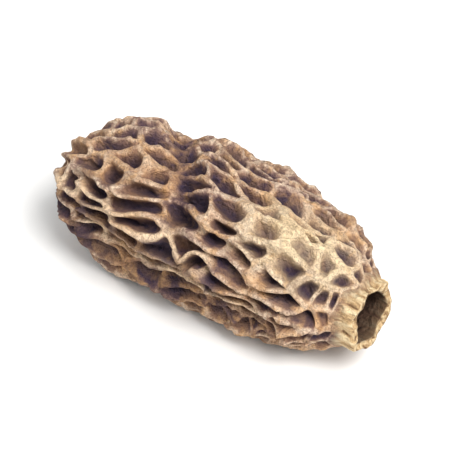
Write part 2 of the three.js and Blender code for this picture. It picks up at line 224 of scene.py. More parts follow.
# The foot: rows of the mesh, its fibres drawn out along X, and its rounded, dished and torn cut.
NECK_ROWS = 7
FOOT_ROWS = 6
CUT_ROWS = 7
THROAT_ROWS = 4
HOLLOW_ROWS = 22
HOLLOW_ROW_POWER = 1.2
FOOT_BEND_SHARE = 0.3
FIBRE_DRAWING = (0.25, 1, 1)
FIBRES = ((1, 0.75, 51),)
FOOT_LUMPS = ((1, 0.7, 52),)
FIBRE_DEPTH = 0.3
FIBRES_LESS_AT_CUT = 0.4
FOOT_LUMP_DEPTH = 0.14
NECK_RELIEF = 0.9
NECK_RELIEF_DIP = 0.25
FOOT_RELIEF = 0.85
FOOT_EDGE_ROUNDING = 0.22
FOOT_EDGE_POWER = 8
CUT_EDGE_INSET = 0.35
CUT_DISH = 0.25
CUT_MOUTH_SLOPE = 0.35
CUT_MOUTH_POWER = 6
CUT_TORN = ((0.4, 0.9, 61),)
CUT_TORN_AT_EDGE = 0.3
CUT_RELIEF = 0.8
CUT_INSIDE = 0.85
CUT_INSIDE_POWER = 5
THROAT_FIBRE_DEPTH = 0.25
THROAT_LUMP_DEPTH = 0.16
THROAT_RELIEF = 0.6
THROAT_RELIEF_LOST = 0.5
HOLLOW_FIBRE_DEPTH = 0.1
HOLLOW_LUMP_DEPTH = 0.15
THROAT_BLEND_RATE = 6

# Colours of the dried flesh. The skin's go by level, from the deepest floor to the crest, partly as the flesh's
# own colour and partly as painted light: painted shade in the deepest floors, painted highlight on the crests.
# The foot's go by how light a thread is.
FLESH_AND_PAINTED_LIGHT_BY_LEVEL = (
    (0.0, 0.034, 0.021, 0.044),
    (0.35, 0.055, 0.033, 0.060),
    (0.58, 0.12, 0.068, 0.078),
    (0.76, 0.31, 0.19, 0.145),
    (0.88, 0.65, 0.46, 0.335),
    (1.0, 0.97, 0.78, 0.58),
)
FOOT_BY_THREAD = (
    (0.34, 0.24, 0.13, 0.06),
    (0.47, 0.66, 0.44, 0.22),
    (0.66, 0.97, 0.78, 0.48),
)
ORANGE_BROWN = (0.34, 0.15, 0.055)
TAN = (0.66, 0.36, 0.16)
OCHRE = (0.78, 0.44, 0.17)
STAIN = (0.20, 0.125, 0.085)
CREAM = (0.98, 0.77, 0.46)
# The painted highlight on the long ridges.
RIDGE_HIGHLIGHT_CREAM = (1.0, 0.74, 0.48)
# Painted shade in the creases of the wrinkles.
CREASE_SHADE_BROWN = (0.11, 0.058, 0.055)
# The hollow's inside: its brown flesh deepened to near black as painted shade.
HOLLOW_SHADE_BROWN = (0.055, 0.024, 0.013)

# Rough all over, and more on the crests than on the floors: relief, then the roughness three times.
ROUGHNESS_BY_RELIEF = ((0.0, 0.62, 0.62, 0.62), (1.0, 0.86, 0.86, 0.86))
SKIN_GLOSS = 0.35

# How strongly each colour layer shows, painted light among them, and the level of its mask from which it does.
LEVEL_SHAKING = 0.34
BROWNING = 0.16
# Painted shade darkening the furrows.
FURROW_SHADE_STRENGTH = 0.4
ORANGE_FROM = 0.3
TAN_FROM = 0.3
OCHRE_FROM = 0.5
STAIN_FROM = 0.55
CREAM_FROM = 0.25
# The crest mask, which carries the painted ridge highlight.
CREST_FROM = 0.6
CREST_GAIN = 2.0
# Painted shade in the creases of the wrinkles.
CREASE_SHADE_BELOW = 0.31
CREASE_SHADE_GAIN = 2.4

# Wrinkles: their depth in millimetres, the shares of crease and grain in it, and how threads are drawn out.
WRINKLE_DEPTH = 1.5
CREASE_SHARE = 0.55
GRAIN_SHARE = 0.45
THREAD_DRAWING = (0.16, 1, 1)


def waves(terms, phi, along):
    """The sum of a list of waves at an angle round the body and a distance along it."""
    return sum(size * np.sin(number * phi + turn * along + start) for size, number, turn, start in terms)


def turn_from(base, phi):
    """The least turn from one angle to another, between half a turn back and half a turn on."""
    return np.arctan2(np.sin(phi - base), np.cos(phi - base))


def body_radius(along):
    """Radius of the pit floors: full and blunt to the tip, as a root of one less a power of the share of
    the way from the widest place to the tip, and with a long taper of the same kind to the foot."""
    to_tip = np.clip((along - WIDEST_AT) / (LENGTH - RIDGE_HEIGHT - WIDEST_AT), 0, 1)
    to_widest = np.clip((along - CAP_EDGE_AT) / (WIDEST_AT - CAP_EDGE_AT), 0, 1)
    blunt = BODY_RADIUS * np.sqrt(1 - to_tip**TIP_BLUNTNESS)
    taper = CAP_EDGE_RADIUS + (BODY_RADIUS - CAP_EDGE_RADIUS) * (1 - (1 - to_widest) ** CAP_EDGE_FULLNESS)
    return np.where(along >= WIDEST_AT, blunt, taper)


def make_outline(steps=600):
    """The body's outline from cap edge to tip as a table. Rise is the net's own height: arc length over
    radius, summed, so that the net keeps its proportions where the body narrows."""
    tip = LENGTH - RIDGE_HEIGHT
    first = math.asin(CAP_EDGE_AT / tip)
    along = tip * np.sin(np.linspace(first, math.pi / 2, steps + 1))
    radius = body_radius(along)
    step = np.hypot(np.diff(along), np.diff(radius))
    middle = (radius[1:] + radius[:-1]) / 2
    return {
        "along": along,
        "radius": radius,
        "arc": np.concatenate([[0], np.cumsum(step)]),
        "rise": np.concatenate([[0], np.cumsum(step / middle)]),
    }


OUTLINE = make_outline()


def look_up(known, wanted, value):
    """One column of the outline table from another, straight between its rows."""
    return np.interp(value, OUTLINE[known], OUTLINE[wanted])


def dent(along, phi, line):
    """A dent along a straight line on the unrolled skin: a bell curve of the distance from the line."""
    along_start, phi_start, along_end, phi_end, width, depth = line
    along_step = along_end - along_start
    phi_step = (phi_end - phi_start) * BODY_RADIUS
    off = turn_from(phi_start, phi) * BODY_RADIUS
    share = ((along - along_start) * along_step + off * phi_step) / (along_step**2 + phi_step**2)
    held = np.clip(share, 0, 1)
    away = np.hypot(along - along_start - held * along_step, off - held * phi_step)
    return depth * np.exp(-((away / width) ** 2))


def lobes(along, phi):
    """How far the shrunken body departs from round: waves round it, less the dents."""
    return 1 + waves(LOBE_WAVES, phi, along) - sum(dent(along, phi, line) for line in DENTS)


def body_point(along, phi, radius):
    """Points of the body from a distance along its bent axis, an angle and a radius, the low side
    flattened."""
    reach = radius * lobes(along, phi)
    y = WIDTH_SHARE * reach * np.cos(phi) + BEND * np.sin(math.pi * along / LENGTH)
    up = HEIGHT_SHARE * reach * np.sin(phi)
    low = np.minimum(0, up - FLATTENED_BELOW)
    z = AXIS_HEIGHT + up - low * (1 - FLATTENING)
    return np.stack([MIDDLE_ALONG - along, y - MIDDLE_ACROSS, z], axis=-1)


def skin_point(phi, rise, height):
    """Points of the skin from an angle and a rise on the net, moved by the net's wander, and a height over
    the pit floors along the outline's normal."""
    at = look_up("rise", "along", rise)
    fade = np.minimum(1, body_radius(at) / STEADY_RADIUS)
    near_edge = np.exp((CAP_EDGE_AT - at) / CAP_EDGE_REACH)
    drawn = (CAP_EDGE_DRAWN + waves(CAP_EDGE_WAVES, phi, at)) * near_edge
    along = np.clip(at + waves(WANDER_ALONG, phi, at) * fade + drawn, CAP_EDGE_AT, LENGTH - RIDGE_HEIGHT)
    arc = look_up("along", "arc", along)
    before = look_up("arc", "along", arc - NORMAL_STEP)
    after = look_up("arc", "along", arc + NORMAL_STEP)
    slope_along = after - before
    slope_radius = body_radius(after) - body_radius(before)
    size = np.hypot(slope_along, slope_radius)
    radius = np.maximum(0, body_radius(along) + height * slope_along / size)
    return body_point(along - height * slope_radius / size, phi + waves(WANDER_ROUND, phi, at) * fade, radius)


def crest_height(phi, rise):
    """Height of the crests over the pit floors: it rises and falls, and is lower by the cap edge and the
    tip."""
    along = look_up("rise", "along", rise)
    from_edge = np.minimum(1, (along - CAP_EDGE_AT) / EDGE_CREST_FULL_AFTER)
    from_tip = np.minimum(1, body_radius(along) / TIP_CREST_FULL_RADIUS)
    at_edge = EDGE_CREST_SHARE + (1 - EDGE_CREST_SHARE) * from_edge
    at_tip = TIP_CREST_SHARE + (1 - TIP_CREST_SHARE) * from_tip
    return RIDGE_HEIGHT * (1 + waves(CREST_WAVES, phi, along)) * at_edge * at_tip


def pressed_share(phi, rise):
    """1 at the resting spot, where the ridges fill their pits, falling straight to 0 round it."""
    away = np.hypot(look_up("rise", "along", rise) - REST_ALONG, turn_from(REST_PHI, phi) * BODY_RADIUS)
    return np.clip((REST_GONE_BEYOND - away) / (REST_GONE_BEYOND - REST_FULL_WITHIN), 0, 1)


def ridge_sag(phi, rise, lean):
    """How far a ridge hangs at its middle, as a share of its height. Lean is 0 for a ridge along the body
    and 1 for one across it, and the sag grows with its square."""
    furrow = FURROW_SAG * np.exp(-((turn_from(FURROW_PHI, phi) / FURROW_HALF_WIDTH) ** 2))
    cross = CROSS_RIDGE_SAG + waves(CROSS_SAG_WAVES, phi, look_up("rise", "along", rise)) + furrow
    return LONG_RIDGE_SAG + (np.minimum(GREATEST_SAG, cross) - LONG_RIDGE_SAG) * lean**2


def make_random(seed):
    """Seeded draws between 0 and 1, so that every run draws the same net as the CAD source."""
    state = seed

    def draw():
        nonlocal state
        state = state * RANDOM_FACTOR % RANDOM_PRIME
        return state / RANDOM_PRIME

    return draw


def place_sites(random):
    """One site for each pit, in columns from foot to tip. A column is left out where the body is too
    narrow."""
    sites = []
    for column in range(COLUMNS):
        rank = 2 if column % 2 else 1 if column % 4 else 0
        arc = SHORT_PIT_LENGTH * (FIRST_PIT_LEAST_SHARE + (1 - FIRST_PIT_LEAST_SHARE) * random())
        while arc < OUTLINE["arc"][-1]:
            radius = float(body_radius(look_up("arc", "along", arc)))
            sway = SWAY * (math.sin(SWAY_TURN * arc + SWAY_COLUMN_TURN * column) + random() - 0.5)
            if radius >= COLUMN_LEAST_RADIUS[rank]:
                phi = TURN * (column + 0.5 + sway) / COLUMNS
                sites.append((phi, look_up("arc", "rise", arc) / NET_STRETCH))
            full = min(1, max(0, (radius - SHORT_PIT_RADIUS) / (FULL_PIT_RADIUS - SHORT_PIT_RADIUS)))
            length = SHORT_PIT_LENGTH + (PIT_LENGTH - SHORT_PIT_LENGTH) * full
            arc += length * (PIT_LEAST_SHARE + 2 * (1 - PIT_LEAST_SHARE) * random())
    return np.array(sites)


def cut_polygon(polygon, side):
    """The part of a convex polygon where side, known at its corners, isn't negative."""
    kept = []
    for i, p in enumerate(polygon):
        j = (i + 1) % len(polygon)
        if side[i] >= 0:
            kept.append(p)
        if (side[i] >= 0) != (side[j] >= 0):
            kept.append(p + side[i] / (side[i] - side[j]) * (polygon[j] - p))
    return np.array(kept)


def pit_polygon(sites, number, top):
    """What lies nearer to one site than to any other, on the skin unrolled and repeated on both sides."""
    site = sites[number]
    copies = sites[:, None] + np.array([[-TURN, 0], [0, 0], [TURN, 0]])
    others = np.delete(copies.reshape(-1, 2), 3 * number + 1, axis=0)
    left, right = site[0] - math.pi, site[0] + math.pi
    polygon = np.array([[left, 0], [right, 0], [right, top], [left, top]])
    while True:
        to_others = np.sum((polygon[None] - others[:, None]) ** 2, axis=2)
        side = to_others - np.sum((polygon - site) ** 2, axis=1)
        cutting = np.flatnonzero((side < 0).any(axis=1))
        if not len(cutting):
            return polygon
        polygon = cut_polygon(polygon, side[cutting[0]])
        others = others[cutting[0] + 1 :]


def draw_net(top):
    """The corners of the net, as angle and rise, and each pit as a list of corner numbers. Corners closer
    together than the shortest ridge become one."""
    corners = []

    def corner(x, y):
        x = x % TURN
        radius = body_radius(look_up("rise", "along", y * NET_STRETCH)) + RIDGE_HEIGHT / 2
        if corners:
            known = np.array(corners)
            across = np.abs(known[:, 0] - x)
            away = np.hypot(np.minimum(across, TURN - across), (known[:, 1] - y) * NET_STRETCH)
            near = np.flatnonzero(radius * away < SHORTEST_RIDGE)
            if len(near):
                return int(near[0])
        corners.append((x, y))
        return len(corners) - 1

    sites = place_sites(make_random(NET_SEED))
    pits = []
    for number in range(len(sites)):
        loop = [corner(x, y) for x, y in pit_polygon(sites, number, top / NET_STRETCH)]
        loop = [a for a, b in zip(loop, loop[1:] + loop[:1]) if a != b]
        if len(loop) > 2:
            pits.append(loop)
    return np.array(corners) * (1, NET_STRETCH), pits


def near_to(phi, base):
    """The same angle, moved by whole turns to lie nearest to another."""
    return phi + TURN * np.round((base - phi) / TURN)


class Crests:
    """Points along every ridge of the net, shared by the pits on both sides: first the corners, then each
    ridge's middle points at even steps. Sag is how far the crest hangs between its corners, as a share, and
    breadth widens the ridge's section. Both grow from the corners to the ridge's middle by 4t(1 - t)."""

    def __init__(self, corners, pits):
        parts = [np.column_stack([corners, np.zeros(len(corners)), np.full(len(corners), CORNER_BREADTH)])]
        self.middles = {}
        count = len(corners)
        for loop in pits:
            for a, b in zip(loop, loop[1:] + loop[:1]):
                low, high = min(a, b), max(a, b)
                if (low, high) not in self.middles:
                    points = self.ridge(corners[low], corners[high])
                    self.middles[low, high] = np.arange(count, count + len(points))
                    parts.append(points)
                    count += len(points)
        self.phi, self.rise, self.sag, self.breadth = np.concatenate(parts).T

    @staticmethod
    def ridge(start, end):
        """Middle points of one ridge, straight on the unrolled skin. Cross ridges sag more than long ones,
        and are thinner."""
        end = np.array([near_to(end[0], start[0]), end[1]])
        radius = body_radius(look_up("rise", "along", (start[1] + end[1]) / 2)) + RIDGE_HEIGHT
        across, upward = radius * (end - start)
        size = math.hypot(across, upward)
        steps = max(2, round(size / FINE_STEP))
        t = np.arange(1, steps) / steps
        sag = ridge_sag(*(start + end) / 2, across / size)
        hang = 4 * t * (1 - t)
        breadth = LONG_RIDGE_BREADTH + (CROSS_RIDGE_BREADTH - LONG_RIDGE_BREADTH) * (across / size) ** 2
        breadth = CORNER_BREADTH + (breadth - CORNER_BREADTH) * hang
        return np.column_stack([start + t[:, None] * (end - start), sag * hang, breadth])

    def around(self, loop):
        """The point numbers round a loop of corners."""
        found = []
        for a, b in zip(loop, loop[1:] + loop[:1]):
            middle = self.middles[min(a, b), max(a, b)]
            found += [[a], middle if a < b else middle[::-1]]
        return np.concatenate(found)


def open_loops(pits):
    """The net's two open edges, from the ridges that only one pit has, each as a loop of corners."""
    used = {(a, b) for loop in pits for a, b in zip(loop, loop[1:] + loop[:1])}
    following = {a: b for a, b in sorted(used) if (b, a) not in used}
    loops = []
    while following:
        loop = [next(iter(following))]
        while loop[-1] in following:
            loop.append(following.pop(loop[-1]))
        loops.append(loop[-2::-1])
    return loops


def eased(share):
    """A share from 0 to 1 that starts and ends gently: 3t^2 - 2t^3."""
    return share * share * (3 - 2 * share)


def value_noise(points, size, seed):
    """Smooth noise from -1 to 1: a random value at each corner of a lattice of that size, in millimetres,
    blended across each cell by an eased share."""
    scaled = points / size
    cell = np.floor(scaled).astype(np.int64)
    part = eased(scaled - cell)
    total = np.zeros(points.shape[:-1])
    for offset in np.ndindex(2, 2, 2):
        mixed = np.bitwise_xor.reduce((cell + offset) * CORNER_FACTORS, axis=-1) ^ seed * SEED_FACTOR
        mixed = (mixed ^ mixed >> 13) * MIXING_FACTOR & WORD_BITS
        value = 2 * ((mixed ^ mixed >> 15) & VALUE_BITS) / VALUE_BITS - 1
        total += value * np.prod(np.where(offset, part, 1 - part), axis=-1)
    return total


def layers(points, terms):
    """The sum of layers of noise."""
    return sum(amount * value_noise(points, size, seed) for amount, size, seed in terms)


def fine_skin_point(phi, rise, height):
    """Points of the skin, their place on the net moved by noise so that crests wind and walls are fluted. The
    higher a point is over the floor, the more its ridge leans over."""
    base = skin_point(phi, rise, 0 * height)
    radius = body_radius(look_up("rise", "along", rise)) + RIDGE_HEIGHT / 2
    fade = np.clip(look_up("rise", "along", rise) - CAP_EDGE_AT, 0, 1)
    fade = fade * np.clip(radius - STRAIGHT_WITHIN_RADIUS, 0, 1)
    lean = CREST_LEAN * height / RIDGE_HEIGHT
    move_phi = layers(base, WINDING_ROUND) + lean * layers(base, LEAN_ROUND)
    move_rise = layers(base, WINDING_ALONG) + lean * layers(base, LEAN_ALONG)
    return skin_point(phi + fade * move_phi / radius, rise + fade * move_rise / radius, height)


def pale_zone(points):
    """1 in the broad pale band on the upper side towards the foot, where the flesh is thick, and 0 away from
    it: a distance in an oval, made patchy by noise, and the height over the floor, each cut off straight."""
    away = np.linalg.norm((points[..., :2] - PALE_MIDDLE) / PALE_REACH, axis=-1)
    patchy = 1 + layers(points, PALE_PATCHES)
    raised = np.clip((points[..., 2] - PALE_ABOVE) / PALE_COMES_IN_OVER, 0, 1)
    return raised * np.clip((PALE_EDGE - away) * patchy, 0, 1)


def streaks(points, lines):
    """Soft streaks of painted light along lines on the skin, from 0 to 1: the same bell curves as the dents,
    broken by noise. A point's angle is found from its height and its distance from the bent axis."""
    along = MIDDLE_ALONG - points[..., 0]
    across = points[..., 1] + MIDDLE_ACROSS - BEND * np.sin(math.pi * along / LENGTH)
    phi = np.arctan2((points[..., 2] - AXIS_HEIGHT) / HEIGHT_SHARE, across / WIDTH_SHARE)
    phi = phi + layers(points, STREAK_WINDING)
    streaked = sum(dent(along, phi, line) for line in lines)
    return np.clip(streaked * (1 + layers(points, STREAK_PATCHES)), 0, 1)


def veins(points):
    """Low winding ribs on the floors, as a share of the crest height: highest where noise is near zero, and
    stronger in some places than in others."""
    line = np.clip(1 - np.abs(layers(points, VEIN_LINES)) / VEIN_WIDTH, 0, 1)
    return VEIN_HEIGHT * line * np.clip(VEIN_SHARE + layers(points, VEIN_CHANGE), 0, 1)


class Surface:
    """Collects points with their attributes, and faces, for one mesh."""

    NAMES = ("relief", "tone", "foot", "inside", "pale", "ridge_highlight", "furrow")

    def __init__(self):
        self.points = []
        self.values = {name: [] for name in self.NAMES}
        self.quads = []
        self.triangles = []
        self.count = 0

    def add(self, points, **values):
        """Adds points in millimetres, and gives their numbers."""
        flat = points.reshape(-1, 3)
        values["pale"] = pale_zone(flat)
        # Painted light: a highlight along two long ridges and shade along the furrows.
        values["ridge_highlight"] = streaks(flat, RIDGE_HIGHLIGHT_STREAKS)
        values["furrow"] = streaks(flat, FURROW_SHADE_STREAKS)
        self.points.append(flat)
        for name in self.NAMES:
            self.values[name].append(np.broadcast_to(values.get(name, 0.0), len(flat)).astype(float))
        numbers = np.arange(self.count, self.count + len(flat))
        self.count += len(flat)
        return numbers

    def strip(self, upper, lower, following):
        """Quads between two rings of point numbers. Following gives each place's next place in its own
        ring."""
        self.quads.append(np.column_stack([upper, lower, lower[following], upper[following]]))

    def fan(self, ring, middle, following):
        """Triangles from a ring, or several, to the middle point of each."""
        self.triangles.append(np.column_stack([ring, middle, ring[following]]))

    def make(self, name):
        """The mesh, in metres, with its low side worn flat at the floor."""
        points = np.concatenate(self.points)
        points[:, 2] = np.maximum(points[:, 2], 0)
        faces = np.concatenate(self.quads).tolist() + np.concatenate(self.triangles).tolist()
        mesh = bpy.data.meshes.new(name)
        mesh.from_pydata(points * MM, [], faces)
        for key in self.NAMES:
            layer = mesh.attributes.new(key, "FLOAT", "POINT")
            layer.data.foreach_set("value", np.concatenate(self.values[key]).astype(np.float32))
        mesh.shade_smooth()
        mesh.update()
        return mesh


def add_crests(surface, crests):
    """The crest points: the ridge height less its sag, made uneven by noise. Their numbers are those of
    crests."""
    base = skin_point(crests.phi, crests.rise, 0 * crests.phi)
    ragged = 1 + layers(base, RAGGED_CREST)
    crests.height = crest_height(crests.phi, crests.rise) * (1 - crests.sag) * ragged
    points = fine_skin_point(crests.phi, crests.rise, crests.height)
    surface.add(points, relief=1.0, tone=EVEN_TONE)


def add_pits(surface, crests, pits):
    """Every pit at once. Each ring is its rim drawn towards the pit's middle until it lies the section's
    inset in from the crest line, then rounded by averaging each point with its neighbours. Veins and lumps
    raise the floors, and thick pale flesh fills its pits in part."""
    loops = [crests.around(loop) for loop in pits]
    sizes = np.array([len(loop) for loop in loops])
    rim = np.concatenate(loops)
    pit = np.repeat(np.arange(len(pits)), sizes)
    first = np.concatenate([[0], np.cumsum(sizes)[:-1]])
    place = np.arange(len(rim)) - first[pit]
    following = first[pit] + (place + 1) % sizes[pit]
    previous = first[pit] + (place - 1) % sizes[pit]

    def round_off(values, times):
        """Values round each rim, averaged with their neighbours so many times."""
        for _ in range(times):
            values = (values[previous] + 2 * values + values[following]) / 4
        return values

    def mean(values):
        """The mean of the values round each pit."""
        return np.bincount(pit, values) / sizes

    phi = near_to(crests.phi[rim], crests.phi[rim[first]][pit])
    rise = crests.rise[rim]
    middle_phi, middle_rise = mean(phi), mean(rise)
    radius = (body_radius(look_up("rise", "along", middle_rise)) + RIDGE_HEIGHT / 2)[pit]
    flat = np.column_stack([phi, rise]) * radius[:, None]
    middle = np.column_stack([middle_phi, middle_rise])[pit] * radius[:, None]

    # Distance from the pit's middle to the line of each stretch of its rim.
    run = flat[following] - flat
    to_middle = middle - flat
    away = np.abs(run[:, 0] * to_middle[:, 1] - run[:, 1] * to_middle[:, 0]) / np.hypot(*run.T)
    away = round_off(np.maximum(away, LEAST_HALF_PIT), HALF_PIT_ROUNDING)

    tone = np.random.default_rng(TONE_SEED).random(len(pits))

    crest = crests.height[rim]
    upper = rim
    for inset, share, largest, rounding in SECTION:
        base = skin_point(phi, rise, 0 * phi)
        wide = 1 + layers(base, UNEVEN_BREADTH) + pale_zone(base)
        inward = np.minimum(inset * wide * crests.breadth[rim] / away, largest)[:, None]
        at = round_off(flat + inward * to_middle, rounding)
        ring_phi, ring_rise = (at / radius[:, None]).T
        floor = pressed_share(ring_phi, ring_rise)
        at_floor = skin_point(ring_phi, ring_rise, 0 * phi)
        lumps = (LUMPS_ON_CREST + LUMPS_MORE_ON_FLOOR * (1 - share)) * layers(at_floor, LUMPS)
        shallow = np.maximum(veins(at_floor), SHALLOW * pale_zone(at_floor))
        lifted = share + (1 - share) * np.maximum(floor, shallow) + lumps
        sunk = PIT_BOWL * (1 - floor) * (1 - share) * largest
        height = round_off(crest, rounding) * lifted - sunk
        points = fine_skin_point(ring_phi, ring_rise, height)
        ring_tone = EVEN_TONE + (tone[pit] - EVEN_TONE) * (1 - share)
        lower = surface.add(points, relief=np.clip(lifted, 0, 1), tone=ring_tone)
        surface.strip(upper, lower, following)
        upper = lower

    floor = pressed_share(middle_phi, middle_rise)
    at_floor = skin_point(middle_phi, middle_rise, 0 * middle_phi)
    lifted = np.maximum(floor, np.maximum(veins(at_floor), SHALLOW * pale_zone(at_floor)))
    height = mean(crest) * lifted - PIT_BOWL * (1 - floor)
    points = fine_skin_point(middle_phi, middle_rise, height)
    centre = surface.add(points, relief=lifted, tone=tone)
    surface.fan(upper, centre[pit], following)


def ring_following(count):
    """Each place's next place in one closed ring."""
    return (np.arange(count) + 1) % count


def add_polar_pit(surface, crests, loop):
    """The pit at the very tip: rings that go on up the net's rise by the section's insets, then a last
    point."""
    rim = crests.around(loop)
    following = ring_following(len(rim))
    upper = rim
    for inset, share, _, _ in SECTION:
        rise = crests.rise[rim] + inset * POLAR_INSET_SHARE / POLAR_PIT_RADIUS
        height = crests.height[rim] * share
        points = fine_skin_point(crests.phi[rim], rise, height)
        lower = surface.add(points, relief=share, tone=EVEN_TONE)
        surface.strip(upper, lower, following)
        upper = lower
    last = surface.add(skin_point(0.0, OUTLINE["rise"][-1], 0.0), relief=0.0, tone=EVEN_TONE)
    surface.fan(upper, np.repeat(last, len(rim)), following)


def oval(phi, narrowing):
    """Share of a radius on an oval that is turned by the mouth's angle."""
    return np.hypot(np.cos(phi - MOUTH_TURN), narrowing * np.sin(phi - MOUTH_TURN))


def add_foot(surface, crests, loop):
    """Neck, foot, cut face, throat and hollow, on the angles of the cap's edge. Each is straight rows
    between two rings, its radius made fibrous by noise drawn out along the stem; then the closing point of
    the hollow."""
    rim = crests.around(loop)
    following = ring_following(len(rim))
    phi = crests.phi[rim]
    neck_at = NECK_AT + waves(NECK_WAVES, phi, 0)
    cut_at = CUT_SLANT * FOOT_RADIUS * (1 + np.cos(phi - CUT_TURN)) + waves(CUT_WAVES, phi, 0)
    pleated = 1 + waves(FOOT_WAVES, phi, 0)
    neck_radius = NECK_RADIUS * pleated
    foot_radius = FOOT_RADIUS * pleated
    mouth_radius = MOUTH_RADIUS * (1 + waves(MOUTH_WAVES, phi, 0)) * oval(phi, MOUTH_NARROWING)
    throat_radius = THROAT_RADIUS * oval(phi, THROAT_NARROWING)
    edge = np.concatenate(surface.points)[rim]
    axis = np.array([0, BEND * FOOT_BEND_SHARE - MIDDLE_ACROSS, AXIS_HEIGHT])
    upper = rim

    def row(points, lumps, fibres, **values):
        """Adds a row below the last one, its points moved away from the axis or towards it."""
        nonlocal upper
        noise = fibres * layers(points * FIBRE_DRAWING, FIBRES) + lumps * layers(points, FOOT_LUMPS)
        outward = (points - axis) * (0, 1, 1)
        outward /= np.linalg.norm(outward, axis=1, keepdims=True)
        lower = surface.add(points + noise[:, None] * outward, tone=EVEN_TONE, **values)
        surface.strip(upper, lower, following)
        upper = lower

    neck = body_point(neck_at, phi, neck_radius)
    for i in range(1, NECK_ROWS + 1):
        share = i / NECK_ROWS
        points = edge + (neck - edge) * (share, eased(share), eased(share))
        relief = NECK_RELIEF - NECK_RELIEF_DIP * math.sin(math.pi * share)
        row(points, FOOT_LUMP_DEPTH * share, FIBRE_DEPTH * share, relief=relief, foot=share)

    for i in range(1, FOOT_ROWS + 1):
        share = i / FOOT_ROWS
        at = neck_at + (cut_at - neck_at) * share
        rounded = FOOT_EDGE_ROUNDING * share**FOOT_EDGE_POWER
        radius = neck_radius + (foot_radius - neck_radius) * share - rounded
        fibres = FIBRE_DEPTH * (1 - FIBRES_LESS_AT_CUT * share)
        row(body_point(at, phi, radius), FOOT_LUMP_DEPTH, fibres, relief=FOOT_RELIEF, foot=1.0)

    for i in range(1, CUT_ROWS + 1):
        share = i / CUT_ROWS
        dish = math.sin(math.pi * share)
        radius = foot_radius - CUT_EDGE_INSET + (mouth_radius - foot_radius + CUT_EDGE_INSET) * share
        torn = layers(body_point(cut_at, phi, radius), CUT_TORN) * (CUT_TORN_AT_EDGE + dish)
        at = cut_at + CUT_DISH * dish + CUT_MOUTH_SLOPE * share**CUT_MOUTH_POWER + torn
        inside = CUT_INSIDE * share**CUT_INSIDE_POWER
        row(body_point(at, phi, radius), 0.0, 0.0, relief=CUT_RELIEF, foot=1.0, inside=inside)

    for i in range(1, THROAT_ROWS + 1):
        share = i / THROAT_ROWS
        at = cut_at + CUT_MOUTH_SLOPE + (THROAT_AT - cut_at - CUT_MOUTH_SLOPE) * share
        points = body_point(at, phi, mouth_radius + (throat_radius - mouth_radius) * share)
        relief = THROAT_RELIEF - THROAT_RELIEF_LOST * share
        inside = CUT_INSIDE + (1 - CUT_INSIDE) * share
        row(points, THROAT_LUMP_DEPTH, THROAT_FIBRE_DEPTH, relief=relief, foot=1 - share, inside=inside)

    for i in range(1, HOLLOW_ROWS):
        share = math.sin(i * math.pi / (2 * HOLLOW_ROWS)) ** HOLLOW_ROW_POWER
        at = THROAT_AT + (HOLLOW_END_AT - THROAT_AT) * share
        radius = body_radius(at) - WALL
        radius = radius + (throat_radius - radius) * max(0, 1 - THROAT_BLEND_RATE * share)
        row(body_point(at + 0 * phi, phi, radius), HOLLOW_LUMP_DEPTH, HOLLOW_FIBRE_DEPTH, inside=1.0)

    last = surface.add(body_point(np.array(HOLLOW_END_AT), 0.0, 0.0), tone=EVEN_TONE, inside=1.0)
    surface.fan(upper, np.repeat(last, len(rim)), following)


def make_skin():
    """The whole mushroom as one closed mesh."""
    towards_tip = OUTLINE["along"] >= WIDEST_AT
    radius, rise = (OUTLINE[name][towards_tip][::-1] for name in ("radius", "rise"))
    top = float(np.interp(POLAR_PIT_RADIUS, radius, rise))
    corners, pits = draw_net(top)
    crests = Crests(corners, pits)
    surface = Surface()
    add_crests(surface, crests)
    add_pits(surface, crests, pits)
    lower, higher = sorted(open_loops(pits), key=lambda loop: corners[loop, 1].mean())
    add_polar_pit(surface, crests, higher)
    add_foot(surface, crests, lower)
    return surface.make("morel_skin")


def node_group(name, inputs, outputs):
    """An empty shader node group with number inputs, given with their defaults, and outputs."""
    group = bpy.data.node_groups.new(name, "ShaderNodeTree")
    for key, value in inputs.items():
        socket = group.interface.new_socket(key, in_out="INPUT", socket_type="NodeSocketFloat")
        socket.default_value = value
    for key in outputs:
        group.interface.new_socket(key, in_out="OUTPUT", socket_type="NodeSocketFloat")
    return group, group.nodes.new("NodeGroupInput"), group.nodes.new("NodeGroupOutput")


def link(tree, *pairs):
    """Links sockets in pairs: output, input, output, input."""
    for source, target in zip(pairs[::2], pairs[1::2]):
        tree.links.new(source, target)


def calculate(tree, operation, first, second, clamp=False):
    """A math node's output. Each side is a socket or a plain number."""
    node = tree.nodes.new("ShaderNodeMath")
    node.operation = operation
    node.use_clamp = clamp
    for socket, value in zip(node.inputs, (first, second)):
        if isinstance(value, (int, float)):
            socket.default_value = value
        else:
            tree.links.new(value, socket)
    return node.outputs[0]


def dried_wrinkles():
    """Node group: creases of dried flesh at one scale with a finer grain on them, as a height, and the grain
    alone as a mask."""
    scales = {"Crease Scale": 900, "Grain Scale": 3500}
    group, given, result = node_group("dried_wrinkles", scales, ["Height", "Mask"])
    place = group.nodes.new("ShaderNodeTexCoord").outputs["Object"]
    creases = group.nodes.new("ShaderNodeTexNoise")
    creases.noise_type = "RIDGED_MULTIFRACTAL"
    creases.inputs["Detail"].default_value = 3
    grain = group.nodes.new("ShaderNodeTexNoise")
    grain.inputs["Detail"].default_value = 4
    link(group, place, creases.inputs["Vector"], given.outputs["Crease Scale"], creases.inputs["Scale"])
    link(group, place, grain.inputs["Vector"], given.outputs["Grain Scale"], grain.inputs["Scale"])
    crease_share = calculate(group, "MULTIPLY", creases.outputs["Fac"], CREASE_SHARE)
    grain_share = calculate(group, "MULTIPLY", grain.outputs["Fac"], GRAIN_SHARE)
    link(group, calculate(group, "ADD", crease_share, grain_share), result.inputs["Height"])
    link(group, grain.outputs["Fac"], result.inputs["Mask"])
    return group


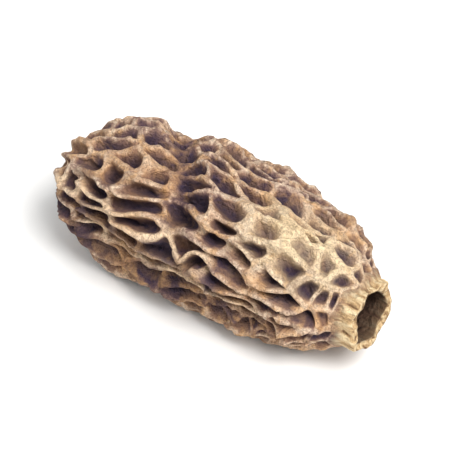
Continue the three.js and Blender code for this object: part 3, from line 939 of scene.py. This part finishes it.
def stem_fibres():
    """Node group: fine threads along the stem, as a height and as a mask: noise drawn out along the part's
    X."""
    group, given, result = node_group("stem_fibres", {"Thread Scale": 1500}, ["Height", "Mask"])
    drawn_out = group.nodes.new("ShaderNodeMapping")
    drawn_out.inputs["Scale"].default_value = THREAD_DRAWING
    threads = group.nodes.new("ShaderNodeTexNoise")
    threads.inputs["Detail"].default_value = 5
    threads.inputs["Distortion"].default_value = 0.3
    link(group, group.nodes.new("ShaderNodeTexCoord").outputs["Object"], drawn_out.inputs["Vector"])
    link(group, drawn_out.outputs["Vector"], threads.inputs["Vector"])
    link(group, given.outputs["Thread Scale"], threads.inputs["Scale"])
    link(group, threads.outputs["Fac"], result.inputs["Height"])
    link(group, threads.outputs["Fac"], result.inputs["Mask"])
    return group


def mottling():
    """Node group: soft uneven patches, as a mask from 0 to 1."""
    group, given, result = node_group("mottling", {"Patch Scale": 250, "Contrast": 2.0}, ["Mask"])
    place = group.nodes.new("ShaderNodeTexCoord").outputs["Object"]
    patches = group.nodes.new("ShaderNodeTexNoise")
    patches.inputs["Detail"].default_value = 3
    patches.inputs["Distortion"].default_value = 0.6
    link(group, place, patches.inputs["Vector"], given.outputs["Patch Scale"], patches.inputs["Scale"])
    centred = calculate(group, "SUBTRACT", patches.outputs["Fac"], 0.5)
    scaled = calculate(group, "MULTIPLY", centred, given.outputs["Contrast"])
    link(group, calculate(group, "ADD", scaled, 0.5, clamp=True), result.inputs["Mask"])
    return group


def above(tree, value, least):
    """How far a value lies above a least one, held from 0 to 1."""
    return calculate(tree, "SUBTRACT", value, least, clamp=True)


def place_group(tree, group, **values):
    """A node group placed in a material, with its own values. A name's words are joined by underscores."""
    node = tree.nodes.new("ShaderNodeGroup")
    node.node_tree = group
    for key, value in values.items():
        node.inputs[key.replace("_", " ")].default_value = value
    return node


def attribute(tree, name):
    """The output of one of the mesh's own number attributes."""
    node = tree.nodes.new("ShaderNodeAttribute")
    node.attribute_name = name
    return node.outputs["Fac"]


def ramp(tree, value, stops):
    """A colour ramp through (place, red, green, blue) stops."""
    node = tree.nodes.new("ShaderNodeValToRGB")
    elements = node.color_ramp.elements
    while len(elements) < len(stops):
        elements.new(0.5)
    for element, (at, *colour) in zip(elements, stops):
        element.position = at
        element.color = (*colour, 1)
    tree.links.new(value, node.inputs[0])
    return node.outputs[0]


def blend(tree, share, first, second):
    """A mix of two colours, each a socket or a plain colour, by a share. The mix node has sockets of the same
    name for every kind of value, and the colour ones come sixth, seventh and second."""
    node = tree.nodes.new("ShaderNodeMix")
    node.data_type = "RGBA"
    tree.links.new(share, node.inputs[0])
    for socket, value in ((node.inputs[6], first), (node.inputs[7], second)):
        if isinstance(value, tuple):
            socket.default_value = (*value, 1)
        else:
            tree.links.new(value, socket)
    return node.outputs[2]


def morel_flesh(wrinkles, fibres, patches):
    """Dried morel flesh with painted light. By its level between floor and crest the skin goes from nearly
    black purple-brown over brown to pale tan: partly the flesh's own colour, partly painted shade in the deep
    floors and painted highlight on the crests. It is browned in patches, and darker in the furrows as painted
    shade. Over it lie orange-brown floors, tan patches, ochre spots, stains, the cream thick flesh, a painted
    highlight along two long ridges and painted shade in the wrinkles' creases, each by a share. The foot is
    cream with brown threads, and the hollow dark red-brown, deepened as painted shade."""
    material = bpy.data.materials.new("dried_morel_flesh")
    material.use_nodes = True
    tree = material.node_tree
    shader = tree.nodes["Principled BSDF"]
    fine = place_group(tree, wrinkles, Crease_Scale=1100, Grain_Scale=4200)
    broad = place_group(tree, patches, Patch_Scale=260, Contrast=2.6).outputs["Mask"]
    large = place_group(tree, patches, Patch_Scale=140, Contrast=3.0).outputs["Mask"]
    spots = place_group(tree, patches, Patch_Scale=420, Contrast=3.2).outputs["Mask"]
    small = place_group(tree, patches, Patch_Scale=900, Contrast=2.2).outputs["Mask"]
    threads = place_group(tree, fibres, Thread_Scale=1300)
    relief, tone, foot, inside, pale, ridge_highlight, furrow = (attribute(tree, name) for name in Surface.NAMES)

    def times(first, second, clamp=False):
        """The product of two values."""
        return calculate(tree, "MULTIPLY", first, second, clamp)

    def plus(first, second, clamp=False):
        """The sum of two values."""
        return calculate(tree, "ADD", first, second, clamp)

    # Light is the thick pale flesh, the painted ridge highlight and large pale patches; browning spares it.
    light = plus(plus(pale, ridge_highlight), large, clamp=True)
    browned = times(calculate(tree, "SUBTRACT", 1.0, light), BROWNING)
    # Painted shade: the furrows lower the level.
    darkened = plus(browned, times(furrow, FURROW_SHADE_STRENGTH))
    shaken = times(calculate(tree, "SUBTRACT", small, 0.5), LEVEL_SHAKING)
    level = above(tree, plus(relief, shaken), darkened)
    crest = times(above(tree, relief, CREST_FROM), CREST_GAIN, clamp=True)
    # Painted shade in the creases of the wrinkles, where their height is low.
    crease_shade = above(tree, CREASE_SHADE_BELOW, fine.outputs["Height"])
    # Colours laid over the skin, each by a share; the ridge highlight, the crease colour and the hollow's
    # darkness are painted light.
    colour_overlays = (
        (times(above(tree, times(tone, broad), ORANGE_FROM), above(tree, 1.0, relief)), ORANGE_BROWN),
        (times(above(tree, large, TAN_FROM), relief), TAN),
        (times(above(tree, spots, OCHRE_FROM), relief), OCHRE),
        (above(tree, broad, STAIN_FROM), STAIN),
        (times(pale, above(tree, relief, CREAM_FROM)), CREAM),
        # Painted highlight on the crests of two long ridges.
        (times(ridge_highlight, crest), RIDGE_HIGHLIGHT_CREAM),
        # Painted shade in the creases.
        (times(crease_shade, plus(relief, CREASE_SHADE_GAIN), clamp=True), CREASE_SHADE_BROWN),
        (foot, ramp(tree, threads.outputs["Mask"], FOOT_BY_THREAD)),
        # Painted shade deepening the hollow's brown.
        (inside, HOLLOW_SHADE_BROWN),
    )
    # The level's colour: the flesh's own colour, with painted shade in the deep floors and painted highlight on
    # the crests.
    colour = ramp(tree, level, FLESH_AND_PAINTED_LIGHT_BY_LEVEL)
    for share, finish in colour_overlays:
        colour = blend(tree, share, colour, finish)
    link(tree, colour, shader.inputs["Base Color"])
    link(tree, ramp(tree, relief, ROUGHNESS_BY_RELIEF), shader.inputs["Roughness"])
    shader.inputs["Specular IOR Level"].default_value = SKIN_GLOSS

    bump = tree.nodes.new("ShaderNodeBump")
    bump.inputs["Strength"].default_value = 1.0
    bump.inputs["Distance"].default_value = WRINKLE_DEPTH * MM
    height = plus(fine.outputs["Height"], times(threads.outputs["Height"], foot))
    link(tree, height, bump.inputs["Height"], bump.outputs["Normal"], shader.inputs["Normal"])
    return material


def pale_floor():
    """The floor's finish: plain, pale and matt."""
    material = bpy.data.materials.new("pale_floor")
    material.use_nodes = True
    shader = material.node_tree.nodes["Principled BSDF"]
    shader.inputs["Base Color"].default_value = (0.88, 0.88, 0.87, 1)
    shader.inputs["Roughness"].default_value = 0.7
    return material


def add_floor():
    """A wide flat floor at height 0, under the part."""
    half = FLOOR_HALF_WIDTH
    mesh = bpy.data.meshes.new("floor")
    corners = [(-half, -half, 0), (half, -half, 0), (half, half, 0), (-half, half, 0)]
    mesh.from_pydata(corners, [], [(0, 1, 2, 3)])
    mesh.materials.append(pale_floor())
    floor = bpy.data.objects.new("floor", mesh)
    bpy.context.scene.collection.objects.link(floor)


def direction(azimuth, elevation):
    """From the part towards a camera or light. Azimuth 0 is on the -Y side and 90 on the +X side, in
    degrees."""
    a, e = math.radians(azimuth), math.radians(elevation)
    return Vector((math.sin(a) * math.cos(e), -math.cos(a) * math.cos(e), math.sin(e)))


def add_light(name, azimuth, elevation, distance, size, power, colour):
    """A square area light that points at the part."""
    data = bpy.data.lights.new(name, "AREA")
    data.shape = "SQUARE"
    data.size = size
    data.energy = power
    data.color = colour
    light = bpy.data.objects.new(name, data)
    away = direction(azimuth, elevation)
    light.location = CENTRE + away * distance
    light.rotation_euler = (-away).to_track_quat("-Z", "Y").to_euler()
    bpy.context.scene.collection.objects.link(light)


def add_camera(azimuth, elevation, distance, width):
    """A camera that looks at the part's middle, and whose picture is that wide there."""
    data = bpy.data.cameras.new("camera")
    data.sensor_width = 36
    data.lens = data.sensor_width * distance / width
    data.clip_start = 0.01
    camera = bpy.data.objects.new("camera", data)
    away = direction(azimuth, elevation)
    camera.location = CENTRE + away * distance
    camera.rotation_euler = (-away).to_track_quat("-Z", "Y").to_euler()
    bpy.context.scene.collection.objects.link(camera)
    bpy.context.scene.camera = camera


def add_world(strength):
    """Even white light from all round."""
    world = bpy.data.worlds.new("soft_white")
    world.use_nodes = True
    world.node_tree.nodes["Background"].inputs["Color"].default_value = (1, 1, 1, 1)
    world.node_tree.nodes["Background"].inputs["Strength"].default_value = strength
    bpy.context.scene.world = world


low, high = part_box("morel")
CENTRE = (low + high) / 2

skin = bpy.data.objects.new("morel_skin", make_skin())
bpy.context.scene.collection.objects.link(skin)
skin.data.materials.append(morel_flesh(dried_wrinkles(), stem_fibres(), mottling()))
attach(skin, "root")
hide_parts("morel")

add_floor()
add_camera(azimuth=37, elevation=42, distance=0.4, width=0.068)
add_light("key", azimuth=75, elevation=55, distance=0.8, size=0.45, power=9.0, colour=(1.0, 0.985, 0.975))
add_light("fill", azimuth=-50, elevation=35, distance=0.9, size=0.8, power=1.9, colour=(0.96, 0.98, 1.0))
add_world(strength=0.54)
bpy.context.scene.view_settings.view_transform = "Standard"
